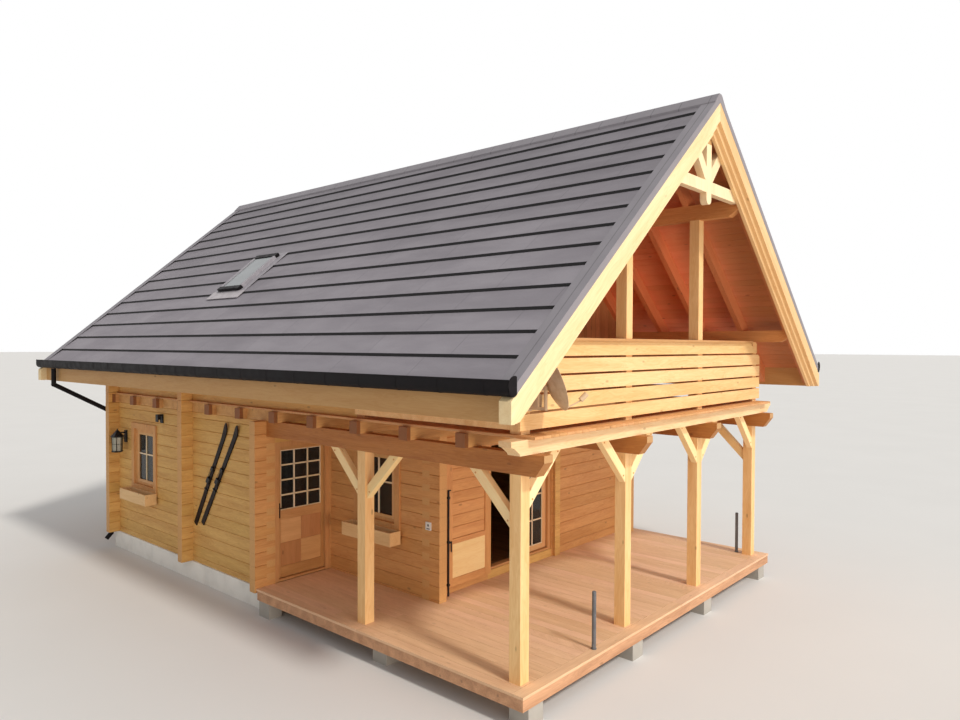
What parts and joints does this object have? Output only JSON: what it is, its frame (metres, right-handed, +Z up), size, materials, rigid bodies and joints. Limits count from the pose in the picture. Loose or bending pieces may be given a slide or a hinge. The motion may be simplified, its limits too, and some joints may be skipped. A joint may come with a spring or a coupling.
{
  "type": "chalet",
  "caption": "Alpine log chalet with a steep overhanging roof, a covered porch on timber posts, a balcony in the gable, a recessed entrance and hinged doors.",
  "frame": {"origin": "on the ground under the middle of the roof, where the plinth and the deck piers rest", "axes": "+Z up, +X to the right of someone facing the front gable, -Y out of the front gable"},
  "size_m": [8.454, 11.379, 7.0136],
  "materials": {
    "log_wood": "matt glazed softwood",
    "frame_wood": "matt glazed softwood",
    "board_wood": "red-brown glazed boards",
    "pale_wood": "pale glazed softwood",
    "door_wood": "satin brown wood",
    "deck_wood": "weathered boards",
    "oiled_floor": "oiled boards",
    "dark_wood": "dark weathered wood",
    "render": "pale mineral render",
    "roof_tile": "matt grey mineral covering",
    "gutter_metal": "near-black coated sheet",
    "black_iron": "black paint",
    "grey_metal": "grey paint",
    "ski_lacquer": "worn lacquer",
    "glazing": "clear glass"
  },
  "bodies": {
    "house": {"plinth": "render", "ground_floor": "oiled_floor", "side_walls": "log_wood", "back_wall": "log_wood", "front_walls": "log_wood", "window_wall": "log_wood", "door_heads_and_sill": "log_wood", "cross_wall_ends": "log_wood", "floor_joists": "log_wood", "upper_floor": "board_wood", "knee_walls": "board_wood", "gable_walls": "board_wood", "purlins": "frame_wood", "rafters": "board_wood", "roof_boarding": "board_wood", "roof_covering": "roof_tile", "roof_trims": "roof_tile", "verge_and_eaves_boards": "pale_wood", "gutters": "gutter_metal", "downpipes": "gutter_metal", "gable_truss": "pale_wood", "posts": "frame_wood", "porch_beams": "frame_wood", "front_beam": "frame_wood", "braces": "frame_wood", "railing": "pale_wood", "deck_boards": "deck_wood", "deck_frame": "dark_wood", "deck_piers": "render", "door_frames": "door_wood", "patio_shutter": "door_wood", "window_frames": "frame_wood", "window_glass": "glazing", "flower_boxes": "door_wood", "wall_lamps": "black_iron", "skylight": "roof_tile", "satellite_dish": "grey_metal", "skis": "ski_lacquer", "bollards": "grey_metal"},
    "entrance_door": {"entrance_leaf": "door_wood", "entrance_glass": "glazing"},
    "patio_door_left": {"patio_left_leaf": "door_wood", "patio_left_glass": "glazing"},
    "patio_door_right": {"patio_right_leaf": "door_wood", "patio_right_glass": "glazing"}
  },
  "joints": [
    {"name": "entrance_hinge", "type": "hinge", "parent": "house", "child": "entrance_door", "pos_m": [-2.104, -0.2415, 1.4], "axis": [0, 0, -1], "range_deg": [0, 95]},
    {"name": "patio_left_hinge", "type": "hinge", "parent": "house", "child": "patio_door_left", "pos_m": [-0.746, -2.4115, 1.4], "axis": [0, 0, 1], "range_deg": [-90, 0]},
    {"name": "patio_right_hinge", "type": "hinge", "parent": "house", "child": "patio_door_right", "pos_m": [0.726, -2.4115, 1.4], "axis": [0, 0, -1], "range_deg": [0, 95]}
  ]
}
